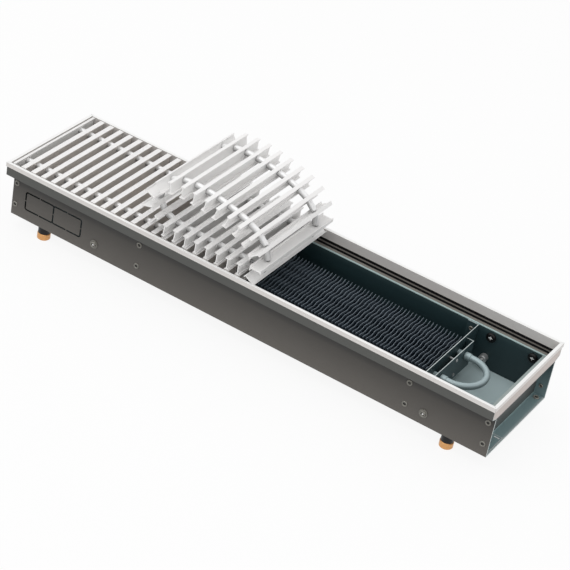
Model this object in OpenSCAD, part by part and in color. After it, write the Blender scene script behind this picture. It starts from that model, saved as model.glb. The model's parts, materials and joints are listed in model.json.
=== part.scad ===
// Trench convector heater with its roll-up grille partly rolled back.
// X runs along the trench, Y across it and Z up. The origin is at floor level,
// under the middle of the frame.

/* [Frame] */
// Length over the frame
frame_l = 800; // [760:10:2000]
// Width over the frame
frame_w = 200; // [190:1:300]
// Width of the frame's top strip
strip_w = 4.6; // [4:0.1:5]
// Thickness of the frame's top strip
strip_t = 1.5; // [1:0.1:2.5]
// Height of the frame's outer lip
lip_h = 6.5; // [4:0.1:8]
// Thickness of the frame's outer lip
lip_t = 1; // [0.8:0.1:1.5]
// Height of the frame's inner leg
leg_h = 14.3; // [10:0.1:16]
// Thickness of the frame's inner leg
leg_t = 1; // [0.8:0.1:1.5]

/* [Casing] */
// Depth from the top of the frame to the underside of the casing's floor
casing_d = 88; // [80:1:200]
// Thickness of the casing's sheet
sheet_t = 1; // [0.7:0.1:1.5]
// Depth of the lower edge of the upright band under the frame
band_d = 20.5; // [18:0.5:22]
// Depth of the outer corner where the ledge meets the wall
ledge_d = 24.5; // [22:0.5:30]
// Distance of a side wall from the frame's outer edge
wall_in = 12.8; // [12:0.2:18]
// Distance of the casing's left end from the frame's left end
left_cut_in = 7; // [2:0.5:10]
// Radius of the pipe holes in the left end plate
pipe_hole_r = 14; // [12:0.5:16]
// Distance of the left end plate from the frame's left end
left_plate_in = 18; // [16:1:30]
// Distance of the right end plate from the frame's right end
right_plate_in = 18; // [16:1:30]
// Length of one knock-out
knockout_l = 49.5; // [30:0.5:60]
// Height of one knock-out
knockout_h = 28.5; // [20:0.5:40]
// Distance of the first knock-out from the frame's left end
knockout_in = 31; // [24:0.5:40]
// Depth of the knock-outs' upper edge
knockout_d = 42; // [36:0.5:46]
// Radius of a knock-out's corners
knockout_r = 3; // [2:0.5:6]
// Width of the slits round a knock-out
slit_w = 2.4; // [0.8:0.1:2.5]
// Width of the tabs that hold a knock-out
tab_w = 1.6; // [1:0.1:4]

/* [Exchanger] */
// Distance of the fins from the frame's outer edges
fin_in = 49.5; // [46:0.5:56]
// Height of a fin
fin_h = 34; // [28:1:45]
// Thickness of a fin
fin_t = 0.4; // [0.3:0.05:0.6]
// Distance between fins
fin_pitch = 5.5; // [4:0.25:8]
// Depth of the fins' upper edges
fin_top_d = 30; // [28:1:40]
// Height of the ripples in a fin
ripple_h = 1.6; // [0.5:0.1:2.5]
// Number of ripples in a fin
ripples = 4; // [2:1:6]
// Outer diameter of the water tubes
tube_d = 9.5; // [8:0.1:12]
// Wall of the water tubes
tube_t = 0.6; // [0.4:0.1:1]
// Distance of a tube's centreline from the fins' ends
tube_in = 15.7; // [12:0.1:20]
// Depth of the tubes' centrelines
tube_d_down = 44.5; // [42:0.5:52]
// Wall of the collars that space the fins
collar_t = 0.5; // [0.3:0.1:1]
// Distance of the left bracket's rivets from the frame's left end
left_bracket_in = 230; // [200:1:260]
// Distance of the right bracket's rivets from the frame's right end
right_bracket_in = 129; // [110:1:150]
// Depth of the upper edge of the support brackets
bracket_top_d = 25; // [24.5:0.5:28]
// Height of the support brackets
bracket_h = 50; // [46:1:55]
// Length of the brackets' side flanges
bracket_flange = 17; // [14:1:24]
// Reach of the exchanger's cheek plates beyond the fins' ends
cheek_reach = 4.5; // [2:0.5:8]
// Height of the exchanger's cheek plates
cheek_h = 40; // [36:1:44]
// Distance of a cheek plate from its bracket
cheek_gap = 10.5; // [8:0.5:14]
// Straight length of the return bend's legs
bend_leg = 12; // [8:1:20]

/* [Water connections] */
// Radius of the connection's threaded hole
thread_r = 9.3; // [8:0.05:12]
// Depth of the connection's threaded hole
thread_l = 14; // [10:1:18]
// Radius of the round part of a connection
fitting_r = 12.5; // [11.5:0.1:14]
// Length of a connection
fitting_l = 36; // [30:1:45]
// Width over the flats of a connection's hexagon
fitting_af = 27; // [24:0.5:30]
// Length of a connection's hexagon
fitting_hex_l = 14; // [12:0.5:16]
// Radius of the air vent's body
vent_r = 5; // [4.5:0.1:6]
// Height of the air vent's body
vent_h = 5.5; // [4:0.5:6]
// Radius of the air vent's screw
vent_screw_r = 2.2; // [1.5:0.1:3]
// Radial clearance of the air vent's screw
vent_fit = 0.05; // [0.02:0.01:0.1]

/* [Feet] */
// Height of a foot under the casing
foot_h = 21; // [18:1:40]
// Distance of the feet from the frame's ends
foot_in_x = 62; // [50:1:90]
// Distance of the feet from the frame's sides
foot_in_y = 22.5; // [22:0.5:50]
// Diameter of a foot's metal pad
pad_d = 19.5; // [16:0.5:24]
// Height of a foot's metal pad
pad_h = 10; // [6:0.5:12]
// Chamfer of the pad's edges
pad_chamfer = 1; // [0.5:0.1:2]
// Diameter of a foot's threaded sleeve
sleeve_d = 18; // [14:0.5:20]
// Radius of a foot's stud
stud_r = 4; // [3:0.5:5]
// Radial clearance of a foot's stud
stud_fit = 0.05; // [0.02:0.01:0.1]

/* [Grille] */
// Height of a slat
slat_h = 18; // [14:0.5:18]
// Distance of the slats' ends from the frame's outer edges
slat_in = 6.2; // [5.6:0.1:7.2]
// Width of a slat's walking flange
walk_w = 7.6; // [6:0.2:9]
// Width of a slat's under flange
under_w = 5.7; // [4:0.1:7]
// Thickness of a slat's flanges
flange_t = 1.3; // [1:0.1:2]
// Thickness of a slat's web
web_t = 1.2; // [0.8:0.1:1.6]
// Width of a groove in the walking flange
groove_w = 0.8; // [0.4:0.1:1]
// Depth of a groove in the walking flange
groove_d = 0.35; // [0.2:0.05:0.5]
// Number of grooves in the walking flange
grooves = 3; // [1:1:4]
// Distance between the slats that lie flat
slat_pitch = 17.5; // [16.8:0.1:20]
// Distance of the first slat from the frame's left end
first_slat_in = 25.5; // [24:0.5:32]
// Width of the end profile's flanges
end_flange_w = 3.7; // [3:0.1:6]
// Distance of each spring row from the frame's outer edge
row_in = 38; // [34:1:50]
// Diameter of a spacer bush
bush_d = 9.4; // [7:0.1:11]
// Gap between a bush and the webs in the flat part
bush_gap = 0.05; // [0.02:0.01:0.2]
// Bore of a spacer bush
bush_bore_d = 4.8; // [4.2:0.1:5.4]
// Diameter of the hole in a slat's web
web_hole_d = 6.4; // [5.5:0.1:7]
// Diameter of the spring inside the bushes
spring_d = 4.2; // [3.5:0.1:4.6]
// Length of the springs beyond the last slat
spring_end_l = 10; // [3:0.5:12]
// Gap between the two layers of the grille
layer_gap = 0.3; // [0.2:0.1:2]

/* [Fixings] */
// Radius of a blind rivet's head
rivet_head_r = 4; // [3:0.1:4.5]
// Height of a blind rivet's head
rivet_head_h = 1.4; // [1:0.1:2]
// Radius of a blind rivet's shank
rivet_r = 2; // [1.5:0.1:2.4]
// Radius of the hole left by a rivet's mandrel
mandrel_r = 1.1; // [0.8:0.1:1.2]
// Depth of the upper rivets
rivet_upper_d = 35; // [32:0.5:38]
// Depth of the lower rivets
rivet_lower_d = 70; // [60:0.5:72]
// Distance of the left end rivets from the frame's left end
left_rivet_in = 13; // [12:0.2:14]
// Distance of the right end rivets from the frame's right end
right_rivet_in = 10; // [8:0.2:12]
// Distance of the floor rivets from the side walls
floor_rivet_in = 9; // [8:0.5:20]
// Radius of a side bolt's shank
bolt_r = 3; // [2.5:0.5:4]
// Width over the flats of a side bolt's head
bolt_af = 10; // [8:0.5:12]
// Height of a side bolt's head
bolt_head_h = 4; // [3:0.5:6]
// Diameter of a side bolt's washer
washer_d = 12.7; // [12:0.1:16]
// Thickness of a side bolt's washer
washer_t = 1.2; // [0.8:0.1:2]
// Diameter of the rivet nut behind a side bolt
nut_d = 12; // [9:0.5:13]
// Length of the rivet nut behind a side bolt
nut_l = 9; // [6:0.5:12]
// Distance of the left side bolts from the frame's left end
left_bolt_in = 155.4; // [145:0.2:165]
// Distance of the right side bolts from the frame's right end
right_bolt_in = 100; // [95:0.5:105]
// Diameter of a cable grommet's flange
grommet_d = 15; // [13:0.5:18]
// Diameter of the wall hole for a cable grommet
grommet_hole_d = 11; // [9:0.5:12]
// Depth of the cable grommets
grommet_down = 35.5; // [34:0.5:45]
// Distance of the two cable grommets from the frame's right end
grommet_near_in = 32.5; // [30:0.5:40]
grommet_far_in = 97.5; // [90:0.5:105]

/* [Hidden] */
$fn = 48;
// Overrun of cuts past the faces that they open
cut = 0.5;
// Clearance round fixings and between sheets that lie on each other
fit = 0.05;
// Gap between the grille and what it rests on
rest_gap = 0.3;
// Degrees that each rolled slat turns from the one before it
roll_turns = [55, 35, 33, 24, 12, 6, 4, 3, 4, 6, 9, 26, 30, 36, 42, 31, 1, 1, 1, 1, 0, 0, 0];
// Links of the tight first fold, of the crown and of the left turn
fold_links = 2;
crown_links = 9;
side_links = 4;
inner_first = fold_links + crown_links + side_links;
// Play of a link in the fold, the crown and the left turn, of the link that lets
// the inner layer lift, and of the links in the inner layer
fold_play = 0.1;
crown_play = 1.15;
side_play = 0.1;
lift_play = 1.4;
inner_play = 0.25;
// First and last link whose angle settles so that the inner layer lies on the flat part
lean_first = 5;
lean_last = 10;
// Widest settling angle and steps of the search for it
lean_limit = 30;
lean_steps = 40;

top_z = foot_h + casing_d;
floor_z = foot_h + sheet_t;
band_y = frame_w / 2 - lip_t;
wall_y = frame_w / 2 - wall_in;
wall_in_y = wall_y - sheet_t;
ledge_slope = atan((ledge_d - band_d) / (band_y - wall_y));
bend_rise = sheet_t / cos(ledge_slope) - sheet_t * tan(ledge_slope);
shell_left = -frame_l / 2 + lip_t;
shell_right = frame_l / 2 - lip_t;
left_plate_x = -frame_l / 2 + left_plate_in;
right_plate_x = frame_l / 2 - right_plate_in;
knockout_x = -frame_l / 2 + knockout_in;

fin_w = frame_w - 2 * fin_in;
tube_gap = fin_w - 2 * tube_in;
cheek_w = fin_w + 2 * cheek_reach;
left_bracket_x = -frame_l / 2 + left_bracket_in + bracket_flange / 2;
right_bracket_x = frame_l / 2 - right_bracket_in + bracket_flange / 2;
tube_r = tube_d / 2;
tube_y = tube_gap / 2;
tube_z = top_z - tube_d_down;
fin_margin = 3;
fin_count = floor((right_bracket_x - left_bracket_x - sheet_t - 2 * fin_margin) / fin_pitch) + 1;
fin_block_l = (fin_count - 1) * fin_pitch + fin_t;
fin_start_x = (left_bracket_x + right_bracket_x - fin_block_l) / 2;
left_cheek_x = left_bracket_x - cheek_gap;
right_cheek_x = right_bracket_x + cheek_gap;
cheek_top_z = top_z - fin_top_d - sheet_t;
bend_start_x = right_cheek_x + 2 * sheet_t;
bend_x = bend_start_x + bend_leg;
cup_share = 0.65;
cup_l = bend_leg * cup_share;
cup_t = 1;
cheek_screw_r = 1.5;
cheek_screw_head_r = 2.6;
cheek_screw_head_h = 1.6;
cheek_screw_y = 8;
cheek_screw_inset = 8;

fitting_back = 20;
fitting_x = left_cheek_x - fitting_back;
socket_l = 14;
vent_x = fitting_x - fitting_l / 2;
vent_seat_z = tube_z + fitting_af / 2;
vent_bore_l = 4.5;
vent_slot_w = 0.8;
vent_slot_d = 1;
vent_screw_l = 6;
vent_well = 0.3;

stud_gap = 0.3;
stud_l = foot_h - pad_h - stud_gap;

slat_z = top_z - slat_h / 2;
slat_l = frame_w - 2 * slat_in;
row_y = frame_w / 2 - row_in;
web_hole_r = web_hole_d / 2;
bush_r = bush_d / 2;
bush_l = slat_pitch - web_t - 2 * bush_gap;
spring_r = spring_d / 2;
spring_gap = 0.4;
first_slat_x = -frame_l / 2 + first_slat_in;
end_profile_x = first_slat_x - slat_pitch;
flat_count = floor(frame_l / 2 / slat_pitch);
last_flat_x = first_slat_x + (flat_count - 1) * slat_pitch;
end_lap = 0.1;

rivet_bulb_r = 3;
rivet_bulb_h = 2.5;
floor_rivet_y = wall_in_y - floor_rivet_in;
left_rivet_x = -frame_l / 2 + left_rivet_in;
right_rivet_x = frame_l / 2 - right_rivet_in;
left_bracket_rivet_x = -frame_l / 2 + left_bracket_in;
right_bracket_rivet_x = frame_l / 2 - right_bracket_in;
bolt_xs = [-frame_l / 2 + left_bolt_in, frame_l / 2 - right_bolt_in];
bolt_z = top_z - rivet_lower_d;
nut_chamfer = 1;
grommet_xs = [frame_l / 2 - grommet_far_in, frame_l / 2 - grommet_near_in];
grommet_z = top_z - grommet_down;
grommet_proud = 3.5;
grommet_back = 1.5;
grommet_skin = 0.8;
grommet_wall = 2;
grommet_slit = 0.5;

// Frame: an aluminium profile with a short outer lip and a deep inner leg

function frame_outline() = [
  [0, 0], [strip_w, 0], [strip_w, -leg_h], [strip_w - leg_t, -leg_h],
  [strip_w - leg_t, -strip_t], [lip_t, -strip_t], [lip_t, -lip_h], [0, -lip_h]
];

// One mitred side of the frame, with its outer edge at the distance out
module frame_side(length, out) {
  color("gainsboro")
    translate([0, -out, top_z])
      intersection() {
        rotate([90, 0, 90])
          linear_extrude(length, center = true) polygon(frame_outline());
        translate([0, 0, -leg_h - cut])
          linear_extrude(leg_h + 2 * cut)
            polygon([
              [-length / 2, 0], [length / 2, 0],
              [length / 2 - strip_w, strip_w], [-length / 2 + strip_w, strip_w]
            ]);
      }
}

module frame_front() { frame_side(frame_l, frame_w / 2); }
module frame_back() { rotate([0, 0, 180]) frame_side(frame_l, frame_w / 2); }
module frame_right() { rotate([0, 0, 90]) frame_side(frame_w, frame_l / 2); }
module frame_left() { rotate([0, 0, -90]) frame_side(frame_w, frame_l / 2); }

key_l = 30;
key_h = 2.5;
key_out = lip_t + sheet_t + rest_gap;
key_w = strip_w - leg_t - rest_gap - key_out;

// Angle keys that lie in the frame's channel and hold its mitred corners together
module corner_keys() {
  color("silver")
    for (sx = [-1, 1], sy = [-1, 1])
      scale([sx, sy, 1])
        translate([frame_l / 2 - key_out, frame_w / 2 - key_out, top_z - strip_t - fit - key_h])
          linear_extrude(key_h)
            polygon([
              [0, 0], [-key_l, 0], [-key_l, -key_w], [-key_w, -key_w], [-key_w, -key_l], [0, -key_l]
            ]);
}

rubber_t = 1.5;
rubber_foot = 3.2;
rubber_in = strip_w - leg_t;

function ledge_top(in) = -band_d - (in - lip_t) * tan(ledge_slope) + sheet_t / cos(ledge_slope);

// Rubber strips under the frame's long legs, whose feet carry the ends of the slats
module rubber_strips() {
  face = rubber_in + rubber_t;
  seat = -slat_h - rest_gap;
  color("black")
    for (turn = [0, 180])
      rotate([0, 0, turn])
        translate([0, -frame_w / 2, top_z])
          rotate([90, 0, 90])
            linear_extrude(frame_l - 2 * strip_w - 2 * rest_gap, center = true)
              polygon([
                [rubber_in, -leg_h], [face, -leg_h], [face, seat], [face + rubber_foot, seat],
                [face + rubber_foot, ledge_top(face + rubber_foot)], [rubber_in, ledge_top(rubber_in)]
              ]);
}

// Casing: one sheet bent into a trough with ledges and upright bands

function flipped(points) = [for (i = [len(points) - 1 : -1 : 0]) [-points[i][0], points[i][1]]];

function trough_outline() =
  let (
    outside = [
      [band_y, -strip_t], [band_y, -band_d], [wall_y, -ledge_d], [wall_y, -casing_d]
    ],
    inside = [
      [wall_in_y, -casing_d + sheet_t], [wall_in_y, -ledge_d + bend_rise],
      [band_y - sheet_t, -band_d + bend_rise], [band_y - sheet_t, -strip_t]
    ]
  )
  concat(outside, flipped(outside), flipped(inside), inside);

module rounded_rectangle(l, h, r) {
  square([l - 2 * r, h], center = true);
  square([l, h - 2 * r], center = true);
  for (sx = [-1, 1], sy = [-1, 1])
    translate([sx * (l / 2 - r), sy * (h / 2 - r)]) circle(r = r);
}

module knockout_slits() {
  half = slit_w / 2;
  for (k = [0, 1])
    translate([(k + 0.5) * knockout_l, -knockout_h / 2])
      difference() {
        rounded_rectangle(knockout_l + slit_w, knockout_h + slit_w, knockout_r + half);
        rounded_rectangle(knockout_l - slit_w, knockout_h - slit_w, knockout_r - half);
        square([tab_w, knockout_h + 2 * slit_w], center = true);
        square([knockout_l + 2 * slit_w, tab_w], center = true);
      }
}

// Places of the rivets along the walls, and of the fixings on both walls
wall_rivet_xs = [left_rivet_x, left_bracket_rivet_x, right_bracket_rivet_x, right_rivet_x];
wall_rivet_zs = [top_z - rivet_upper_d, top_z - rivet_lower_d];
floor_rivet_xs = [left_rivet_x, right_rivet_x];

// Puts children on both walls at x and z, with their Z axis pointing outwards
module on_walls(xs, zs) {
  for (turn = [0, 180], x = xs, z = zs)
    scale([turn == 0 ? 1 : -1, 1, 1])
      rotate([0, 0, turn])
        translate([x, -wall_y, z]) rotate([90, 0, 0]) children();
}

module under_floor() {
  for (x = floor_rivet_xs, s = [-1, 1])
    translate([x, s * floor_rivet_y, foot_h]) rotate([180, 0, 0]) children();
}

module hole(r, depth) {
  translate([0, 0, -depth - cut]) cylinder(r = r, h = depth + 2 * cut);
}

module trough_shell() {
  color("#625E58")
    difference() {
      translate([(shell_left + shell_right) / 2, 0, top_z])
        rotate([90, 0, 90])
          linear_extrude(shell_right - shell_left, center = true) polygon(trough_outline());
      translate([-frame_l / 2 - cut, -frame_w / 2, foot_h - cut])
        cube([left_cut_in + cut, frame_w, casing_d - band_d + cut]);
      translate([knockout_x, -wall_y + sheet_t + cut, top_z - knockout_d])
        rotate([90, 0, 0])
          linear_extrude(sheet_t + 2 * cut) knockout_slits();
      on_walls(wall_rivet_xs, wall_rivet_zs) hole(rivet_r + fit, sheet_t);
      on_walls(bolt_xs, [bolt_z]) hole(bolt_r + fit, sheet_t);
      under_floor() hole(rivet_r + fit, sheet_t);
      for (x = grommet_xs)
        translate([x, wall_y, grommet_z])
          rotate([-90, 0, 0]) hole(grommet_hole_d / 2 + fit, sheet_t);
    }
}

// Outline of the band that closes the casing's end between the upright bands
function end_band_outline() =
  let (
    half = [
      [band_y - sheet_t - fit, -strip_t - fit], [band_y - sheet_t - fit, -band_d + bend_rise + fit],
      [wall_in_y - fit, -ledge_d + bend_rise + fit], [wall_in_y - fit, -ledge_d]
    ]
  )
  concat(half, flipped(half));

// End plate: a band under the frame, a ledge that steps inwards from it, and a plate
// down to the floor with flanges that turn outwards
module end_plate(plate_in, flange_end_in, rivet_in) {
  side_y = wall_in_y - fit;
  plate_l = plate_in - flange_end_in;
  low = floor_z + fit;
  high = top_z - ledge_d;
  color("#5A6668")
    translate([-frame_l / 2, 0, 0])
      difference() {
        union() {
          translate([lip_t, 0, top_z])
            rotate([90, 0, 90]) linear_extrude(sheet_t) polygon(end_band_outline());
          translate([lip_t, -side_y, high]) cube([plate_in + sheet_t - lip_t, 2 * side_y, sheet_t]);
          translate([plate_in, -side_y, low]) cube([sheet_t, 2 * side_y, high + sheet_t - low]);
          translate([flange_end_in, -side_y, low]) cube([plate_l + sheet_t, 2 * side_y, sheet_t]);
          for (s = [-1, 1])
            scale([1, s, 1])
              translate([flange_end_in, side_y - sheet_t, low])
                cube([plate_l + sheet_t, sheet_t, high - low - fit]);
        }
        for (z = wall_rivet_zs)
          translate([rivet_in, 0, z])
            rotate([90, 0, 0]) cylinder(r = rivet_r + fit, h = frame_w, center = true);
        for (s = [-1, 1])
          translate([rivet_in, s * floor_rivet_y, foot_h])
            cylinder(r = rivet_r + fit, h = sheet_t * 4);
      }
}

// The left end plate has two round holes that the pipes pass through
module end_plate_left() {
  difference() {
    end_plate(left_plate_in, left_cut_in, left_rivet_in);
    translate([left_plate_x - cut, 0, 0])
      along_tubes() cylinder(r = pipe_hole_r, h = sheet_t + 2 * cut);
  }
}
module end_plate_right() { scale([-1, 1, 1]) end_plate(right_plate_in, lip_t, right_rivet_in); }

// Exchanger: rippled fins on two tubes, joined by a return bend

function ripple(i) = i % 2 == 0 ? 0 : ripple_h;

module fin() {
  count = 2 * ripples;
  step = fin_w / count;
  translate([0, 0, top_z - fin_top_d - fin_h])
    linear_extrude(fin_h)
      polygon(concat(
        [for (i = [0 : count]) [ripple(i), -fin_w / 2 + i * step]],
        [for (i = [count : -1 : 0]) [ripple(i) + fin_t, -fin_w / 2 + i * step]]
      ));
}

module along_tubes() {
  for (s = [-1, 1])
    translate([0, s * tube_y, tube_z]) rotate([0, 90, 0]) children();
}

module fin_pack() {
  color("#3A4650")
    difference() {
      union() {
        for (i = [0 : fin_count - 1])
          translate([fin_start_x + i * fin_pitch, 0, 0]) fin();
        translate([fin_start_x, 0, 0])
          along_tubes()
            cylinder(r = tube_r + fit + collar_t, h = fin_block_l + ripple_h, $fn = 24);
      }
      translate([fin_start_x - cut, 0, 0])
        along_tubes()
          cylinder(r = tube_r + fit, h = fin_block_l + ripple_h + 2 * cut, $fn = 24);
    }
}

// Straight tubes, each widened at its end into a cup that takes the return bend
module exchanger_tubes() {
  start = fitting_x - socket_l;
  length = bend_start_x - start;
  color("#8FA0A2")
    translate([start, 0, 0])
      along_tubes()
        difference() {
          union() {
            cylinder(r = tube_r, h = length);
            translate([0, 0, length]) cylinder(r = tube_r + fit + cup_t, h = cup_l);
            translate([0, 0, length - cup_t])
              cylinder(r1 = tube_r, r2 = tube_r + fit + cup_t, h = cup_t);
          }
          translate([0, 0, -cut]) cylinder(r = tube_r - tube_t, h = length + 2 * cut);
          translate([0, 0, length]) cylinder(r = tube_r + fit, h = cup_l + cut);
        }
}

module bend_rod(r, over) {
  translate([bend_x, 0, tube_z])
    rotate([0, 0, -90])
      rotate_extrude(angle = 180) translate([tube_y, 0]) circle(r = r);
  translate([bend_start_x - over, 0, 0])
    along_tubes() cylinder(r = r, h = bend_leg + over);
}

module return_bend() {
  color("#A5B4B6")
    difference() {
      bend_rod(tube_r, 0);
      bend_rod(tube_r - tube_t, cut);
    }
}

// Cheek plate with side flanges that reach back to the support bracket
module cheek_plate(x, turn) {
  flange_l = cheek_gap - sheet_t - fit;
  color("#6F7C80")
    translate([x, 0, 0])
      difference() {
        union() {
          translate([0, -cheek_w / 2, cheek_top_z - cheek_h]) cube([sheet_t, cheek_w, cheek_h]);
          for (s = [-1, 1])
            translate([turn < 0 ? -flange_l : sheet_t, s < 0 ? -cheek_w / 2 : cheek_w / 2 - sheet_t,
                       cheek_top_z - cheek_h])
              cube([flange_l, sheet_t, cheek_h]);
        }
        translate([-cut, 0, 0]) along_tubes() cylinder(r = tube_r + fit, h = sheet_t + 2 * cut);
        translate([-cut, 0, 0])
          at_cheek_screws() cylinder(r = cheek_screw_r + fit, h = sheet_t + 2 * cut);
      }
}

module cheek_plate_left() { cheek_plate(left_cheek_x, 1); }
module cheek_plate_right() { cheek_plate(right_cheek_x, -1); }

module at_cheek_screws() {
  for (z = [cheek_top_z - cheek_screw_inset, cheek_top_z - cheek_h + cheek_screw_inset])
    translate([0, cheek_screw_y, z]) rotate([0, 90, 0]) children();
}

// Support bracket: a plate across the casing, riveted to both walls by its side flanges
module support_bracket(x) {
  side_y = wall_in_y - fit;
  low = top_z - bracket_top_d - bracket_h;
  color("#4F5A5E")
    difference() {
      union() {
        translate([x, -side_y, low]) cube([sheet_t, 2 * side_y, bracket_h]);
        for (s = [-1, 1])
          scale([1, s, 1])
            translate([x - bracket_flange + sheet_t, side_y - sheet_t, low])
              cube([bracket_flange, sheet_t, bracket_h]);
      }
      translate([x - cut, 0, 0]) along_tubes() cylinder(r = tube_r + fit, h = sheet_t + 2 * cut);
      translate([x - cut, 0, 0])
        at_cheek_screws() cylinder(r = cheek_screw_r + fit, h = sheet_t + 2 * cut);
      for (z = wall_rivet_zs)
        translate([x - bracket_flange / 2, 0, z])
          rotate([90, 0, 0]) cylinder(r = rivet_r + fit, h = frame_w, center = true);
    }
}

module support_bracket_left() { support_bracket(left_bracket_x); }
module support_bracket_right() { support_bracket(right_bracket_x); }

module cheek_screw() {
  rotate_extrude()
    polygon([
      [0, 0], [cheek_screw_head_r, 0], [cheek_screw_head_r, cheek_screw_head_h / 2],
      [cheek_screw_r, cheek_screw_head_h], [0, cheek_screw_head_h]
    ]);
  translate([0, 0, -cheek_gap - 2 * sheet_t]) cylinder(r = cheek_screw_r, h = cheek_gap + 2 * sheet_t + fit);
}

module cheek_screws() {
  color("silver") {
    translate([right_cheek_x + sheet_t, 0, 0]) at_cheek_screws() cheek_screw();
    translate([left_cheek_x, 0, 0]) at_cheek_screws() rotate([180, 0, 0]) cheek_screw();
  }
}

// Water connections: brass fittings with a female thread, and an air vent on one of them

module fitting() {
  difference() {
    union() {
      cylinder(r = fitting_r, h = fitting_l);
      translate([0, 0, (fitting_l - fitting_hex_l) / 2])
        rotate([0, 0, 30]) cylinder(d = fitting_af / cos(30), h = fitting_hex_l, $fn = 6);
    }
    translate([0, 0, -cut]) cylinder(r = thread_r, h = thread_l + cut);
    translate([0, 0, -cut]) cylinder(r = tube_r - tube_t, h = fitting_l + 2 * cut);
    translate([0, 0, fitting_l - socket_l]) cylinder(r = tube_r + fit, h = socket_l + cut);
  }
}

module connection_fittings() {
  color("#B08D57")
    translate([fitting_x - fitting_l, 0, 0]) along_tubes() fitting();
}

module air_vent_body() {
  color("#B08D57")
    translate([vent_x, tube_y, vent_seat_z])
      difference() {
        cylinder(r = vent_r, h = vent_h);
        translate([0, 0, vent_h - vent_bore_l])
          cylinder(r = vent_screw_r + vent_fit, h = vent_bore_l + cut);
      }
}

module air_vent_screw() {
  color("silver")
    translate([vent_x, tube_y, vent_seat_z + vent_h - vent_bore_l + vent_well])
      difference() {
        cylinder(r = vent_screw_r, h = vent_screw_l);
        translate([-vent_screw_r - cut, -vent_slot_w / 2, vent_screw_l - vent_slot_d])
          cube([2 * vent_screw_r + 2 * cut, vent_slot_w, vent_slot_d + cut]);
      }
}

// Fixings

module blind_rivet(grip) {
  difference() {
    union() {
      rotate_extrude()
        polygon([
          [0, 0], [rivet_head_r, 0], [rivet_head_r, rivet_head_h / 3],
          [rivet_head_r / 2, rivet_head_h], [0, rivet_head_h]
        ]);
      translate([0, 0, -grip]) cylinder(r = rivet_r, h = grip);
      translate([0, 0, -grip - rivet_bulb_h]) cylinder(r = rivet_bulb_r, h = rivet_bulb_h);
    }
    translate([0, 0, -rivet_head_h / 2]) cylinder(r = mandrel_r, h = rivet_head_h * 2);
  }
}

module blind_rivets() {
  grip = 2 * sheet_t + 2 * fit;
  color("#8A8780") {
    on_walls(wall_rivet_xs, wall_rivet_zs) blind_rivet(grip);
    under_floor() rotate([180, 0, 0]) translate([0, 0, grip]) blind_rivet(grip);
  }
}

module side_bolts() {
  color("silver")
    on_walls(bolt_xs, [bolt_z]) {
      translate([0, 0, washer_t]) cylinder(d = bolt_af / cos(30), h = bolt_head_h, $fn = 6);
      translate([0, 0, -sheet_t - nut_l - bolt_r]) cylinder(r = bolt_r, h = sheet_t + nut_l + bolt_r + washer_t);
    }
}

module side_washers() {
  color("silver")
    on_walls(bolt_xs, [bolt_z])
      difference() {
        cylinder(d = washer_d, h = washer_t);
        translate([0, 0, -cut]) cylinder(r = bolt_r + fit, h = washer_t + 2 * cut);
      }
}

module rivet_nuts() {
  r = nut_d / 2;
  color("#8FA0A2")
    on_walls(bolt_xs, [bolt_z])
      translate([0, 0, -sheet_t])
        rotate_extrude()
          polygon([
            [bolt_r + fit, 0], [r, 0], [r, -nut_l + nut_chamfer],
            [r - nut_chamfer, -nut_l], [bolt_r + fit, -nut_l]
          ]);
}

// Rubber grommets in the back wall, with a slit skin that a cable pushes through
module cable_grommets() {
  r = grommet_d / 2;
  neck = grommet_hole_d / 2;
  color("black")
    for (x = grommet_xs)
      translate([x, wall_in_y, grommet_z])
        rotate([90, 0, 0])
          difference() {
            rotate_extrude()
              polygon([
                [0, 0], [0, grommet_skin], [neck - grommet_wall, grommet_proud - grommet_skin],
                [neck - grommet_wall, grommet_proud], [neck, grommet_proud],
                [r, grommet_proud - grommet_wall], [r, 0], [neck, 0], [neck, -sheet_t],
                [r, -sheet_t], [r, -sheet_t - grommet_back / 2], [neck, -sheet_t - grommet_back],
                [neck - grommet_wall, -sheet_t - grommet_back], [neck - grommet_wall, 0]
              ]);
            for (turn = [0, 90])
              rotate([0, 0, turn])
                translate([-neck + grommet_wall, -grommet_slit / 2, -cut])
                  cube([2 * (neck - grommet_wall), grommet_slit, grommet_skin / 2 + cut]);
          }
}

// Levelling feet: a metal pad on a stud that screws into a sleeve under the floor

module foot_at(sx, sy) {
  translate([sx * (frame_l / 2 - foot_in_x), sy * (frame_w / 2 - foot_in_y), 0]) children();
}

module foot_sleeves() {
  low = pad_h + stud_gap;
  color("black")
    for (sx = [-1, 1], sy = [-1, 1])
      foot_at(sx, sy)
        translate([0, 0, low])
          difference() {
            cylinder(d = sleeve_d, h = foot_h - low);
            translate([0, 0, -cut]) cylinder(r = stud_r + stud_fit, h = foot_h - low + cut - stud_gap);
          }
}

module foot() {
  r = pad_d / 2;
  color("#C98A4B")
    rotate_extrude()
      polygon([
        [0, 0], [r - pad_chamfer, 0], [r, pad_chamfer], [r, pad_h - pad_chamfer],
        [r - pad_chamfer, pad_h], [stud_r, pad_h], [stud_r, pad_h + stud_l - stud_gap],
        [0, pad_h + stud_l - stud_gap]
      ]);
}

module foot_front_left() { foot_at(-1, -1) foot(); }
module foot_front_right() { foot_at(1, -1) foot(); }
module foot_back_left() { foot_at(-1, 1) foot(); }
module foot_back_right() { foot_at(1, 1) foot(); }

// Grille: slats threaded on two springs, with bushes between them

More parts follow.
